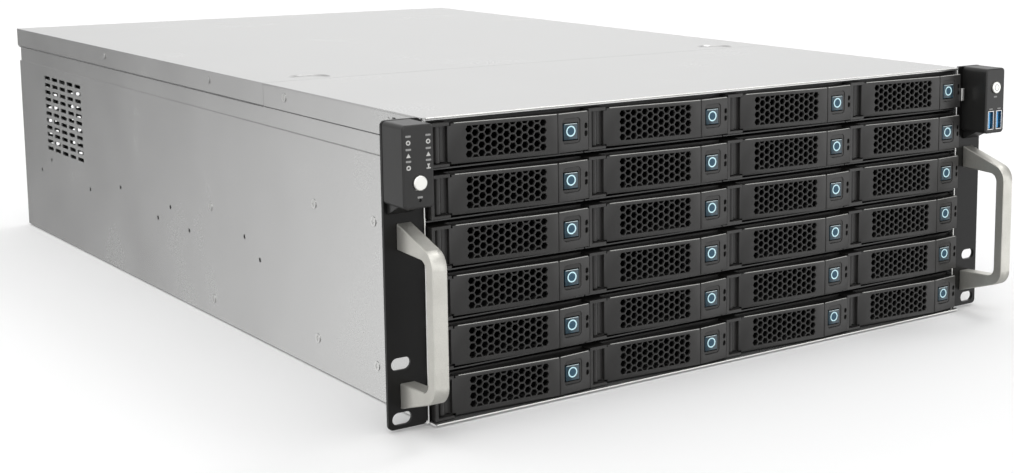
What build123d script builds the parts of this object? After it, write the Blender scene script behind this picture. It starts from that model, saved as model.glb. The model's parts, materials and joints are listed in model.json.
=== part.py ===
from build123d import *
import math
import os

# Rack storage enclosure, 4 rack units high, with 24 drive trays in four columns and six rows.
# Millimetres.  +X is to the right seen from the front, +Y runs to the rear, +Z is up.
# Shapes are built with y = 0 at the front face of the rack ears, then moved by FRONT_Y so
# that the origin is at the centre of the whole object's footprint.

# --- chassis -------------------------------------------------------------------------------
SHEET = 1.0
BODY_WIDTH = 433.0
BODY_HEIGHT = 176.0
BODY_DEPTH = 724.0
HALF = BODY_WIDTH / 2
REAR_FLANGE_REACH = 4.0
HANDLE_REACH = 39.0
FRONT_Y = -(BODY_DEPTH + REAR_FLANGE_REACH - HANDLE_REACH) / 2
CREASE_Z = 148.0
BAND_Z = 161.0
SLIDING_GAP = 0.3
EAR_GAP = 0.3
LIP_Y = -0.8
FLOOR_LIP_Y = -6.8
LID_SEAM_Y = 208.5
SEAM_GAP = 0.6

# --- drive bay -----------------------------------------------------------------------------
COLUMNS = 4
ROWS = 6
COLUMN_PITCH = 107.2
ROW_PITCH = 29.25
TOP_ROW_Z = 160.75
DIVIDER = 0.8
SHELF_TOP = -14.1
BAY_REAR_Y = 168.0

# --- one tray, measured from its cell's middle in x and its button's middle in z -----------
TRAY_WIDTH = 106.2
BUTTON_X = 39.8
BEZEL_TOP = 12.0
BEZEL_BOTTOM = -12.9
LEVER_TOP = 10.8
LEVER_BOTTOM = -12.3
LEVER_LEFT_X = -40.4
LEVER_RIGHT_X = 30.0
LEVER_LEFT_Y = -1.2
CREST_Y = -7.0
BUTTON_FACE_Y = -6.1
RIGHT_EDGE_Y = -5.2
PIVOT_X = -46.7
PIVOT_Y = 0.7
BARREL_R = 2.2
LEVER_NOTCH = 2.2
WINDOW_X = (-29.6, 23.2)
WINDOW_Z = (-10.2, 9.2)
RAIL_OUTER = 105.0
RAIL_THICK = 1.4
SLED_BOTTOM = -13.0
SLED_REAR_Y = 160.0

# --- rack fittings -------------------------------------------------------------------------
EAR_OUTER_X = 241.3
EAR_THICK = 2.5
EAR_TOP = 176.4
EAR_BOTTOM = 0.4
EAR_FRONT_Y = 0.3
EAR_CORNER_R = 3.0
EAR_FLANGE_THICK = 2.0
EAR_FLANGE_REAR = 12.5
EAR_FLANGE_Z = (4.0, 156.0)
RACK_SLOT_X = 232.55
RACK_SLOT_Z = (6.35, 38.1)
RACK_SLOT_LENGTH = 12.5
RACK_SLOT_HEIGHT = 7.2
HANDLE_X = 229.0
HANDLE_WIDTH = 9.3
HANDLE_GRIP = 7.4
POD_X = 231.5
POD_WIDTH = 19.1
POD_DEPTH = 22.5
POD_BOTTOM = 130.0
POD_TOP = 176.2
POD_WALL = 1.6
POWER_Z = 144.2
IDENT_Z = 162.7
ROUND_BUTTON_R = 4.1
RESET_Z = 134.6
USB_Z = 139.4
USB_SPREAD = 8.4

# --- rear and inside -----------------------------------------------------------------------
IO_WIDTH = 158.75
IO_HEIGHT = 44.45
IO_RIGHT_X = 108.0
IO_BOTTOM = 9.0
SLOT_COUNT = 7
SLOT_PITCH = 20.32
SLOT_FIRST_X = -68.5
SLOT_BOTTOM = 14.0
SLOT_HEIGHT = 112.0
PSU_X = (120.0, 206.0)
PSU_Z = (8.0, 158.0)
PSU_DEPTH = 160.0
REAR_FAN_SIZE = 80.0
REAR_FAN_X = (66.0, -18.0)
REAR_FAN_Z = 104.0
WALL_FAN_SIZE = 120.0
WALL_FAN_X = (-138.0, 0.0, 138.0)
WALL_FAN_Z = 88.0
FAN_DEPTH = 25.0
FAN_WALL_Y = 214.0
BOARD_ORIGIN_X = -186.0
BOARD_ORIGIN_Y = 704.0
BOARD_HOLE_X = (0.0, 124.46, 281.94)
BOARD_HOLE_Y = (0.0, -154.94, -227.33)
STANDOFF_HEIGHT = 7.0


def block(x0, x1, y0, y1, z0, z1):
    """A box between two corners."""
    middle = Pos((x0 + x1) / 2, (y0 + y1) / 2, (z0 + z1) / 2)
    return middle * Box(abs(x1 - x0), abs(y1 - y0), abs(z1 - z0))


def along_y(sketch, y0, y1):
    """A sketch drawn in x and z, made solid from y0 to y1."""
    return Pos(0, y1, 0) * extrude(Plane.XZ * sketch, amount=y1 - y0)


def along_x(sketch, x0, x1):
    """A sketch drawn in y and z, made solid from x0 to x1."""
    return Pos(x0, 0, 0) * extrude(Plane.YZ * sketch, amount=x1 - x0)


def rod_y(x, z, radius, y0, y1):
    """A round bar along y."""
    return along_y(Pos(x, z) * Circle(radius), y0, y1)


def rod_x(y, z, radius, x0, x1):
    """A round bar along x."""
    return along_x(Pos(y, z) * Circle(radius), x0, x1)


def mirrored(shape):
    """The same shape on the other side of the middle plane."""
    return mirror(shape, about=Plane.YZ)


def save(name, solids):
    """Write one named sub-part, in the object's own frame."""
    group = solids if isinstance(solids, list) else [solids]
    pieces = [piece for shape in group for piece in shape.solids()]
    moved = Pos(0, FRONT_Y, 0) * Compound(pieces)
    moved.label = name
    export_step(moved, f"parts/{name}.step")


def cell_x(column):
    return (column - (COLUMNS - 1) / 2) * COLUMN_PITCH


def row_z(row):
    return TOP_ROW_Z - row * ROW_PITCH


# --- casing --------------------------------------------------------------------------------
VENT_COLUMNS = 5
VENT_ROWS = 11
VENT_Y = 573.5
VENT_Z = 77.5
VENT_PITCH_Y = 19.2
VENT_PITCH_Z = 6.1
VENT_SLOT = (14.5, 3.2)
RAIL_HOLE_R = 1.65
RAIL_HOLES_HIGH = ((246.7, 67.4), (379.3, 67.4), (482.7, 67.4), (649.6, 67.4))
RAIL_HOLES_LOW = ((222.8, 55.5), (344.6, 55.5), (405.0, 55.5), (553.9, 55.5), (677.6, 55.5))
WALL_SCREWS = ((59.8, 20.2), (59.8, 107.9), (138.4, 20.2), (138.4, 106.6), (303.6, 13.0), (303.6, 79.5))
BAND_SCREWS = ((39.0, 169.5), (176.5, 169.5))
WALL_SCREW_R = 3.0
BAND_SCREW_R = 2.6


def side_wall():
    """The left wall, which stands on the floor's edge and steps inwards above the crease for the lid's flange."""
    step = SHEET + SLIDING_GAP
    outer = -HALF
    wall = block(outer, outer + SHEET, 0, BODY_DEPTH, 0, CREASE_Z)
    wall += block(outer, outer + step + SHEET, 0, BODY_DEPTH, CREASE_Z - SHEET, CREASE_Z)
    top = BODY_HEIGHT - SHEET - SLIDING_GAP
    wall += block(outer + step, outer + step + SHEET, 0, BODY_DEPTH, CREASE_Z - SHEET, top)
    vents = Sketch()
    for i in range(VENT_COLUMNS):
        for j in range(VENT_ROWS):
            centre = Pos(VENT_Y + i * VENT_PITCH_Y, VENT_Z + j * VENT_PITCH_Z)
            vents += centre * SlotOverall(*VENT_SLOT)
    for y, z in RAIL_HOLES_HIGH + RAIL_HOLES_LOW:
        vents += Pos(y, z) * Circle(RAIL_HOLE_R)
    wall -= along_x(vents, outer - SHEET, outer + 2 * SHEET)
    for y, z in WALL_SCREWS:
        wall -= rod_x(y, z, WALL_SCREW_R, outer - SHEET, outer + SHEET / 2)
    return wall


def base_pan():
    """Floor and both side walls of one folded sheet, as three solids that meet face to face."""
    left = side_wall()
    floor = block(-HALF + SHEET, HALF - SHEET, FLOOR_LIP_Y, BODY_DEPTH, 0, SHEET)
    return [floor, left, mirrored(left)]


def front_cover():
    """The fixed front part of the top, with a lip over the drive bay: a plate and its two flanges."""
    rear = LID_SEAM_Y - SEAM_GAP / 2
    under = BODY_HEIGHT - SHEET
    plate = block(-HALF, HALF, LIP_Y, rear, under, BODY_HEIGHT)
    plate += block(-HALF, HALF, LIP_Y, -0.1, under - 0.8, BODY_HEIGHT)
    flange = block(-HALF, -HALF + SHEET, EAR_GAP, rear, BAND_Z, under)
    for y, z in BAND_SCREWS:
        flange -= rod_x(y, z, BAND_SCREW_R, -HALF - 0.4, -HALF + 0.4)
    flange -= block(-HALF - 1, -HALF + 2, 21, 34, 170.6, 172.6)
    return [plate, flange, mirrored(flange)]


RECESS_X = 176.0
RECESS_Y = 224.0
RECESS_R = 14.5
RECESS_DEPTH = 0.8
LID_SCREWS = ((298.0, 169.5), (505.0, 169.5))
LID_SCREW_PROUD = 0.8


def rear_lid():
    """The sliding rear lid, with side flanges, a rear flange and two finger recesses."""
    front = LID_SEAM_Y + SEAM_GAP / 2
    rear = BODY_DEPTH + REAR_FLANGE_REACH
    lid = block(-HALF, HALF, front, rear, BODY_HEIGHT - SHEET, BODY_HEIGHT)
    lid += block(-HALF, HALF, rear - SHEET, rear, BODY_HEIGHT - 11, BODY_HEIGHT)
    for side in (-1, 1):
        lid += block(side * HALF, side * (HALF - SHEET), front, rear, BAND_Z, BODY_HEIGHT)
        place = Pos(side * RECESS_X, RECESS_Y, BODY_HEIGHT)
        cup = Cylinder(RECESS_R, RECESS_DEPTH + SHEET, align=(Align.CENTER, Align.CENTER, Align.MAX))
        hollow = Cone(
            RECESS_R - 1.6, RECESS_R - 0.4, RECESS_DEPTH, align=(Align.CENTER, Align.CENTER, Align.MAX)
        )
        lid = lid + place * cup - place * hollow
    return lid


def lid_screws():
    """Pan-head screws that hold the lid's side flanges."""
    heads = []
    for side in (-1, 1):
        for y, z in LID_SCREWS:
            outer = side * (HALF + LID_SCREW_PROUD)
            recess = cross_x(y, z, BAND_SCREW_R, outer - side * LID_SCREW_PROUD / 2, outer + side)
            heads.append(rod_x(y, z, BAND_SCREW_R, side * HALF, outer) - recess)
    return heads


def panel_openings():
    """Everything cut through the rear panel, drawn in x and z."""
    cuts = Pos(IO_RIGHT_X - IO_WIDTH / 2, IO_BOTTOM + IO_HEIGHT / 2) * Rectangle(IO_WIDTH, IO_HEIGHT)
    for i in range(SLOT_COUNT):
        centre = Pos(SLOT_FIRST_X - i * SLOT_PITCH, SLOT_BOTTOM + SLOT_HEIGHT / 2)
        cuts += centre * Rectangle(13.0, SLOT_HEIGHT - 8)
    psu_middle = Pos(sum(PSU_X) / 2, sum(PSU_Z) / 2)
    cuts += psu_middle * Rectangle(PSU_X[1] - PSU_X[0] - 8, PSU_Z[1] - PSU_Z[0] - 8)
    for x in REAR_FAN_X:
        cuts += Pos(x, REAR_FAN_Z) * Circle(REAR_FAN_SIZE / 2 - 2)
    for i in range(14):
        cuts += Pos(SLOT_FIRST_X + 4 - i * 10.0, 146) * SlotOverall(16, 4, rotation=90)
    return cuts


def rear_panel():
    """The rear wall and its top flange, as solids that meet face to face around the connector cut-out."""
    edge = HALF - 2 * SHEET - SLIDING_GAP
    front = BODY_DEPTH - SHEET
    top = BODY_HEIGHT - SHEET - SLIDING_GAP
    left = IO_RIGHT_X - IO_WIDTH
    right = IO_RIGHT_X
    fields = (
        (-edge, left, SHEET, top), (right, edge, SHEET, top),
        (left, right, IO_BOTTOM + IO_HEIGHT, top), (left, right, SHEET, IO_BOTTOM),
    )
    cuts = along_y(panel_openings(), front - 1, BODY_DEPTH + 1)
    walls = [block(x0, x1, front, BODY_DEPTH, z0, z1) - cuts for x0, x1, z0, z1 in fields]
    return walls + [block(-edge, edge, front - 8, front, top - SHEET, top)]


SLOT_VENT_ROWS = 9


def slot_covers():
    """Seven perforated brackets that close the expansion slots, each with a bent-over tab."""
    covers = []
    for i in range(SLOT_COUNT):
        x = SLOT_FIRST_X - i * SLOT_PITCH
        top = SLOT_BOTTOM + SLOT_HEIGHT + 2
        front = BODY_DEPTH - SHEET
        cover = block(x - 9.2, x + 9.2, front - 0.9, front, SLOT_BOTTOM - 2, top)
        cover += block(x - 9.2, x + 9.2, front - 11, front, top - 0.9, top)
        holes = Sketch()
        for row in range(SLOT_VENT_ROWS):
            holes += Pos(x, SLOT_BOTTOM + 12 + row * 11.0) * SlotOverall(8.5, 3.2)
        covers.append(cover - along_y(holes, front - 2, front + 1))
    return covers


# --- drive bay -----------------------------------------------------------------------------
def bay_dividers():
    """Three upright plates between the columns of trays."""
    top = BODY_HEIGHT - SHEET - SLIDING_GAP
    xs = [cell_x(c) + COLUMN_PITCH / 2 for c in range(COLUMNS - 1)]
    return [block(x - DIVIDER / 2, x + DIVIDER / 2, 10.5, BAY_REAR_Y, SHEET, top) for x in xs]


BEAD_HEIGHT = 0.8
BEAD_INSET = 51.8


def bay_shelf(column):
    """One tray's shelf: a thin plate with two raised runners."""
    x = cell_x(column)
    left = x - COLUMN_PITCH / 2 + DIVIDER / 2 if column > 0 else -HALF + SHEET
    right = x + COLUMN_PITCH / 2 - DIVIDER / 2 if column < COLUMNS - 1 else HALF - SHEET
    shelf = block(left, right, 0.4, BAY_REAR_Y, SHELF_TOP - DIVIDER, SHELF_TOP)
    for side in (-1, 1):
        bead_x = x + side * BEAD_INSET
        shelf += block(bead_x - 0.5, bead_x + 0.5, 12, BAY_REAR_Y, SHELF_TOP, SHELF_TOP + BEAD_HEIGHT)
    return shelf


def bay_shelves():
    """Five levels of shelves, four to a level."""
    shelves = []
    for column in range(COLUMNS):
        shelf = bay_shelf(column)
        shelves += [Pos(0, 0, row_z(row)) * shelf for row in range(ROWS - 1)]
    return shelves


def bay_top_bar():
    """The dark bar that closes the gap above the top row of trays."""
    edge = HALF - 2 * SHEET - SLIDING_GAP
    return block(-edge, edge, 0.6, 9, BODY_HEIGHT - 2.9, BODY_HEIGHT - SHEET)


def drive_connector():
    """The combined data and power connector that one drive plugs into."""
    body = block(-22, 22, SLED_REAR_Y + 1.5, BAY_REAR_Y + 2, -9.5, -3.5)
    return body - block(-20.5, 20.5, SLED_REAR_Y, BAY_REAR_Y - 1.5, -7.2, -4.8)


def backplane_connectors():
    """One drive connector for each bay, on the front of the backplane boards."""
    one = drive_connector()
    return [Pos(cell_x(c), 0, row_z(r)) * one for r in range(ROWS) for c in range(COLUMNS)]


def backplane_boards():
    """Six circuit boards, one behind each row of trays, with air slots between the connectors."""
    front = BAY_REAR_Y + 2
    board = block(-213.5, 213.5, front, front + 1.6, -13.5, 13.5)
    for c in range(COLUMNS):
        board -= block(cell_x(c) - 40, cell_x(c) + 40, front - 1, front + 3, 1.5, 10.5)
    return [Pos(0, 0, row_z(r)) * board for r in range(ROWS)]


def backplane_sockets():
    """Cable sockets on the rear of the boards: one data and two power sockets on each."""
    front = BAY_REAR_Y + 3.6
    one = block(-9, 9, front, front + 13, -10, -2) - block(-7.5, 7.5, front + 2, front + 14, -8.5, -3.5)
    two = [block(x - 10, x + 10, front, front + 10, -11, 0) for x in (-125, 125)]
    return [Pos(0, 0, row_z(r)) * shape for r in range(ROWS) for shape in [one] + two]


# --- tray ----------------------------------------------------------------------------------
def bezel_face(x0, x1, y_front_left, y_front_right, y_rear, z0, z1):
    """A block whose front face slopes from left to right."""
    outline = Polyline((x0, y_front_left), (x1, y_front_right), (x1, y_rear), (x0, y_rear), close=True)
    return Pos(0, 0, z0) * extrude(make_face(outline), amount=z1 - z0, dir=(0, 0, 1))


BUTTON_WIDTH = 9.8
BUTTON_HEIGHT = 9.3
BUTTON_Z = -0.3
BUTTON_GAP = 0.7
LAMP_X = 51.2
LAMP_Z = (2.4, -2.2)
LAMP_HOLE = (3.3, 2.1)


def tray_bezel():
    """The tray's front frame: hinge recess on the left, air window, button housing on the right."""
    left = -TRAY_WIDTH / 2
    right = TRAY_WIDTH / 2
    frame = block(left, right, 3.4, 9.5, BEZEL_BOTTOM, BEZEL_TOP)
    frame -= block(LEVER_LEFT_X + 6, LEVER_RIGHT_X - 2, 2, 10.5, -10.4, 9.4)
    frame += block(left, left + 2.0, -4.2, 3.4, BEZEL_BOTTOM, BEZEL_TOP)
    frame += block(left, LEVER_LEFT_X - 0.4, -4.2, 3.4, BEZEL_TOP - 1.8, BEZEL_TOP)
    frame += block(left, LEVER_LEFT_X - 0.4, -4.2, 3.4, BEZEL_BOTTOM, BEZEL_BOTTOM + 1.5)
    housing_left = LEVER_RIGHT_X + 0.4
    frame += bezel_face(housing_left, right, CREST_Y, RIGHT_EDGE_Y, 3.4, LEVER_BOTTOM, LEVER_TOP)
    thumb = Pos(BUTTON_X + 0.4, 0.2) * RectangleRounded(13.2, 15.0, 2.2)
    frame -= along_y(thumb, -8, BUTTON_FACE_Y + 0.7)
    well = Pos(BUTTON_X, BUTTON_Z) * Rectangle(BUTTON_WIDTH + 2 * BUTTON_GAP, BUTTON_HEIGHT + 2 * BUTTON_GAP)
    frame -= along_y(well, -8, 2.5)
    for z in LAMP_Z:
        lamp = Pos(LAMP_X, z) * SlotOverall(*LAMP_HOLE, rotation=90)
        frame -= along_y(lamp, -8, -1)
    return frame


def tray_lever():
    """The lever that pulls the tray out: a sloping hollow panel with an air window and a hinge barrel."""
    panel = bezel_face(
        LEVER_LEFT_X, LEVER_RIGHT_X, LEVER_LEFT_Y, CREST_Y, 3.0, LEVER_BOTTOM, LEVER_TOP
    )
    wall = 1.4
    inside = bezel_face(
        LEVER_LEFT_X + 2.4, LEVER_RIGHT_X - wall, LEVER_LEFT_Y + 1.9, CREST_Y + 2.1, 3.5,
        LEVER_BOTTOM + wall, LEVER_TOP - wall,
    )
    panel -= inside
    panel -= block(WINDOW_X[0], WINDOW_X[1], -9, 0.6, WINDOW_Z[0], WINDOW_Z[1])
    for z in (LEVER_TOP, LEVER_BOTTOM):
        corner = Pos(LEVER_LEFT_X, z) * Rectangle(2 * LEVER_NOTCH, 2.6)
        panel -= along_y(corner, -9, 4)
    knuckle = Pos(PIVOT_X, PIVOT_Y, -10.9) * Cylinder(
        BARREL_R, 20.6, align=(Align.CENTER, Align.CENTER, Align.MIN)
    )
    web = block(PIVOT_X, LEVER_LEFT_X + 0.5, PIVOT_Y + 0.3, PIVOT_Y + 2.0, -10.9, 9.7)
    return panel + knuckle + web


def tray_button():
    """The square release button."""
    half_w = BUTTON_WIDTH / 2
    half_h = BUTTON_HEIGHT / 2
    cap = block(
        BUTTON_X - half_w, BUTTON_X + half_w, BUTTON_FACE_Y, -1.0, BUTTON_Z - half_h, BUTTON_Z + half_h
    )
    return chamfer(cap.faces().sort_by(Axis.Y)[0].edges(), 0.4)


RAIL_HOLE_YS = (33.0, 74.0, 134.0)
OPENING_TRAYS = ("r1c1", "r1c2")


def tray_rail():
    """The sled's left side rail, with the drive's screw holes."""
    outer = -RAIL_OUTER / 2
    rail = block(outer, outer + RAIL_THICK, 9.5, SLED_REAR_Y, SLED_BOTTOM, 0.5)
    holes = Sketch()
    for y in RAIL_HOLE_YS:
        holes += Pos(y, -6.0) * Circle(1.9)
    return rail - along_x(holes, outer - 1, outer + 3)


def tray_floor_bars():
    """Two cross bars under the drive."""
    inner = RAIL_OUTER / 2 - RAIL_THICK
    spans = ((9.5, 34.0), (118.0, 150.0))
    return [block(-inner, inner, y0, y1, SLED_BOTTOM, SLED_BOTTOM + 0.8) for y0, y1 in spans]


def build_trays():
    """24 trays.  In OPENING_TRAYS the lever and the button are sub-parts of their own."""
    rail = tray_rail()
    sled = [tray_bezel(), rail, mirrored(rail)] + tray_floor_bars()
    lever = tray_lever()
    button = tray_button()
    for row in range(ROWS):
        for column in range(COLUMNS):
            place = Pos(cell_x(column), 0, row_z(row))
            name = f"r{row + 1}c{column + 1}"
            if name in OPENING_TRAYS:
                save(f"drive_tray_{name}", [place * piece for piece in sled])
                save(f"tray_lever_{name}", place * lever)
                save(f"tray_button_{name}", place * button)
            else:
                save(f"drive_tray_{name}", [place * piece for piece in sled + [lever, button]])


# --- rack fittings -------------------------------------------------------------------------
def rack_ear():
    """The left rack ear: a front plate with two open slots and a short flange along the side wall."""
    rear = EAR_FRONT_Y + EAR_THICK
    inner_x = HALF + 0.1
    middle = Pos(-(inner_x + EAR_OUTER_X) / 2, (EAR_BOTTOM + EAR_TOP) / 2)
    outline = middle * RectangleRounded(EAR_OUTER_X - inner_x, EAR_TOP - EAR_BOTTOM, EAR_CORNER_R)
    slots = Sketch()
    for z in RACK_SLOT_Z:
        slots += Pos(-RACK_SLOT_X, z) * SlotOverall(RACK_SLOT_LENGTH, RACK_SLOT_HEIGHT)
    plate = along_y(outline - slots, EAR_FRONT_Y, rear)
    flange = block(-inner_x, -inner_x - EAR_FLANGE_THICK, rear, EAR_FLANGE_REAR, *EAR_FLANGE_Z)
    return plate + flange


def pull_handle():
    """The left handle: a flat bar bent into a bracket, with wedge-shaped feet."""
    back = 0.3
    grip = -HANDLE_REACH
    hollow = grip + HANDLE_GRIP
    outline = Polyline(
        (back, 118.6), (grip, 106.0), (grip, 24.4), (back, 12.0),
        (back, 26.9), (hollow, 28.4), (hollow, 102.2), (back, 103.5), close=True,
    )
    profile = make_face(outline)
    profile = fillet(profile.vertices().filter_by_position(Axis.X, grip - 0.1, grip + 0.1), 11.0)
    profile = fillet(profile.vertices().filter_by_position(Axis.X, hollow - 0.1, hollow + 0.1), 6.0)
    bar = along_x(profile, -HANDLE_X - HANDLE_WIDTH / 2, -HANDLE_X + HANDLE_WIDTH / 2)
    sides = bar.faces().filter_by(Axis.X)
    return chamfer(sides.edges().filter_by_position(Axis.Y, grip - 1, -1), 0.5)


def handle_feet_screws():
    """Two screws through the ear into each handle."""
    screws = []
    for side in (-1, 1):
        for z in (19.5, 111.0):
            screws.append(rod_y(side * HANDLE_X, z, 4.0, 2.8, 5.2))
    return screws


def pod_shell():
    """The hollow housing on top of a rack ear, open at the back, with a sloping foot below."""
    half = POD_WIDTH / 2
    height = POD_TOP - POD_BOTTOM
    middle_z = (POD_TOP + POD_BOTTOM) / 2
    shell = along_y(Pos(-POD_X, middle_z) * RectangleRounded(POD_WIDTH, height, 2.6), -POD_DEPTH, 0.2)
    shell = fillet(shell.faces().sort_by(Axis.Y)[0].edges(), 1.2)
    shell -= block(
        -POD_X - half + POD_WALL, -POD_X + half - POD_WALL, -POD_DEPTH + 2.0, 1,
        POD_BOTTOM + POD_WALL, POD_TOP - POD_WALL,
    )
    wedge = make_face(Polyline((0.2, POD_BOTTOM + 0.5), (-13, POD_BOTTOM + 0.5), (0.2, 124.0), close=True))
    return shell + along_x(wedge, -POD_X - half + 2, -POD_X + half - 2)


def control_pod():
    """The left housing, with a hole for the power button and a pinhole for the reset plunger."""
    holes = Pos(-POD_X + 0.5, POWER_Z) * Circle(ROUND_BUTTON_R + 0.35)
    holes += Pos(-POD_X + 0.5, RESET_Z) * Circle(0.9)
    return pod_shell() - along_y(holes, -POD_DEPTH - 1, -POD_DEPTH + 3)


def usb_pod():
    """The right housing: identification button hole and two upright sockets."""
    holes = Pos(POD_X, IDENT_Z) * Circle(ROUND_BUTTON_R + 0.35)
    for side in (-1, 1):
        holes += Pos(POD_X + side * USB_SPREAD / 2, USB_Z) * Rectangle(6.2, 13.6)
    return mirrored(pod_shell()) - along_y(holes, -POD_DEPTH - 1, -POD_DEPTH + 3)


def round_button(x, z):
    """A round push button with a collar behind the housing's face."""
    head = rod_y(x, z, ROUND_BUTTON_R, -POD_DEPTH - 1.4, -POD_DEPTH + 6)
    head = chamfer(head.faces().sort_by(Axis.Y)[0].edges(), 0.4)
    return head + rod_y(x, z, ROUND_BUTTON_R + 0.9, -POD_DEPTH + 2.4, -POD_DEPTH + 3.6)


def reset_pin():
    """The recessed reset plunger behind its pinhole."""
    x = -POD_X + 0.5
    return rod_y(x, RESET_Z, 0.65, -POD_DEPTH + 0.8, -POD_DEPTH + 6)


def usb_shells():
    """The two sockets' folded metal shells."""
    shells = []
    for side in (-1, 1):
        x = POD_X + side * USB_SPREAD / 2
        outer = block(x - 2.9, x + 2.9, -POD_DEPTH - 0.1, -6, USB_Z - 6.6, USB_Z + 6.6)
        inner = block(x - 2.5, x + 2.5, -POD_DEPTH - 1, -6.5, USB_Z - 6.2, USB_Z + 6.2)
        shells.append(outer - inner)
    return shells


def usb_tongues():
    """The insulating tongue inside each socket."""
    tongues = []
    for side in (-1, 1):
        x = POD_X + side * USB_SPREAD / 2
        tongues.append(block(x - 1.9, x - 0.1, -POD_DEPTH + 0.6, -6.5, USB_Z - 5.7, USB_Z + 5.7))
    return tongues


def pod_boards():
    """The small circuit board at the back of each housing."""
    half = POD_WIDTH / 2 - POD_WALL - 0.2
    left = block(-POD_X - half, -POD_X + half, -5.8, -4.4, POD_BOTTOM + 2, POD_TOP - 2)
    return [left, mirrored(left)]


# --- cooling -------------------------------------------------------------------------------
def fan_frame(size, x, z, y0):
    """A square fan frame with a round duct, four struts and the motor's seat at its rear."""
    duct = size / 2 - 2.2
    y1 = y0 + FAN_DEPTH
    face = Pos(x, z) * RectangleRounded(size, size, 4.0) - Pos(x, z) * Circle(duct)
    for dx in (-1, 1):
        for dz in (-1, 1):
            offset = size * 0.4465
            face -= Pos(x + dx * offset, z + dz * offset) * Circle(2.15)
    frame = along_y(face, y0, y1)
    for angle in (45, 135, 225, 315):
        strut = Rot(0, angle, 0) * block(size * 0.15, duct + 0.6, y1 - 3, y1 - 0.2, -1.6, 1.6)
        frame += Pos(x, 0, z) * strut
    return frame + rod_y(x, z, size * 0.17, y1 - 3, y1 - 0.2)


BLADES = 7


def fan_rotor(size, x, z, y0):
    """A hub with swept, pitched blades."""
    hub_r = size * 0.165
    tip_r = size / 2 - 3.4
    rear = FAN_DEPTH - 3.6
    hub = Pos(0, (1.5 + rear) / 2, 0) * Rot(90, 0, 0) * Cylinder(hub_r, rear - 1.5)
    sweep = 38
    outline = make_face([
        Line((hub_r - 1, 0), (tip_r, 0)),
        CenterArc((0, 0), tip_r, 0, sweep),
        Line(Vector(tip_r, 0).rotate(Axis.Z, sweep), Vector(hub_r - 1, 0).rotate(Axis.Z, sweep)),
        CenterArc((0, 0), hub_r - 1, 0, sweep),
    ])
    blade = along_y(Rot(0, 0, -sweep / 2) * outline, -0.7, 0.7)
    blade = Pos(0, FAN_DEPTH / 2 - 1, 0) * Rot(28, 0, 0) * blade
    rotor = hub
    for i in range(BLADES):
        rotor += Rot(0, 360 / BLADES * i, 0) * blade
    return Pos(x, y0, z) * rotor


def fan_wall():
    """The upright plate that carries the three large fans behind the backplanes."""
    edge = HALF - 2 * SHEET - SLIDING_GAP
    top = BODY_HEIGHT - RECESS_DEPTH - 2 * SHEET - 1.0
    wall = block(-edge, edge, FAN_WALL_Y, FAN_WALL_Y + SHEET, SHEET, top)
    wall += block(-edge, edge, FAN_WALL_Y, FAN_WALL_Y + 9, top - SHEET, top)
    duct = Sketch()
    for x in WALL_FAN_X:
        duct += Pos(x, WALL_FAN_Z) * Circle(WALL_FAN_SIZE / 2 - 2.2)
    for x in (-69, 69):
        duct += Pos(x, 14) * SlotOverall(24, 12)
    return wall - along_y(duct, FAN_WALL_Y - 1, FAN_WALL_Y + 3)


GUARD_RADII = (9.0, 18.0, 27.0, 36.0)
GUARD_THICK = 1.4


def fan_guards():
    """Finger guards over the rear fans: four flat rings on two crossed bars."""
    guards = []
    reach = REAR_FAN_SIZE * 0.4465 * math.sqrt(2) + 4
    for x in REAR_FAN_X:
        outline = Sketch()
        for radius in GUARD_RADII:
            outline += Circle(radius + 0.8) - Circle(radius - 0.8)
        for angle in (45, 135):
            outline += Rectangle(2 * reach, 2.0, rotation=angle)
        outline -= Circle(GUARD_RADII[0] - 0.8)
        guards.append(along_y(Pos(x, REAR_FAN_Z) * outline, BODY_DEPTH, BODY_DEPTH + GUARD_THICK))
    return guards


# --- power supply --------------------------------------------------------------------------
def psu_layout():
    x0, x1 = PSU_X
    z0, z1 = PSU_Z
    return x0, x1, z0, z1, BODY_DEPTH - SHEET - PSU_DEPTH, BODY_DEPTH - SHEET


def psu_case():
    """The power supply's folded case, with a perforated rear end and openings for its fittings."""
    x0, x1, z0, z1, y0, y1 = psu_layout()
    case = block(x0, x1, y0, y1, z0, z1) - block(x0 + 1, x1 - 1, y0 + 1, y1 - 1, z0 + 1, z1 - 1)
    cuts = Sketch()
    for i in range(12):
        cuts += Pos((x0 + x1) / 2, z0 + 50 + i * 7.4) * SlotOverall(64, 4.2)
    cuts += Pos(x0 + 30, z0 + 24) * Rectangle(28, 21)
    cuts += Pos(x0 + 62, z0 + 24) * Rectangle(14, 20)
    return case - along_y(cuts, y1 - 2, y1 + 1)


def power_inlet():
    """The recessed mains inlet with its three flat pins."""
    x0, x1, z0, z1, y0, y1 = psu_layout()
    x, z = x0 + 30, z0 + 24
    body = block(x - 14, x + 14, y1 - 20, y1 + 1.2, z - 10.5, z + 10.5)
    body -= block(x - 12, x + 12, y1 - 15, y1 + 2, z - 8, z + 8)
    pins = [block(x + dx - 1, x + dx + 1, y1 - 15, y1 - 3, z + dz - 2, z + dz + 2)
            for dx, dz in ((-7, -1.5), (0, 3), (7, -1.5))]
    for pin in pins:
        body += pin
    return body


ROCKER_TILT = 8.0
ROCKER_PIVOT_DEPTH = 2.0


def psu_switch_frame():
    """The rocker switch's frame."""
    x0, x1, z0, z1, y0, y1 = psu_layout()
    x, z = x0 + 62, z0 + 24
    frame = block(x - 7, x + 7, y1 - 12, y1 + 1.2, z - 10, z + 10)
    return frame - block(x - 5.6, x + 5.6, y1 - 10.5, y1 + 2, z - 8.6, z + 8.6)


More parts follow.
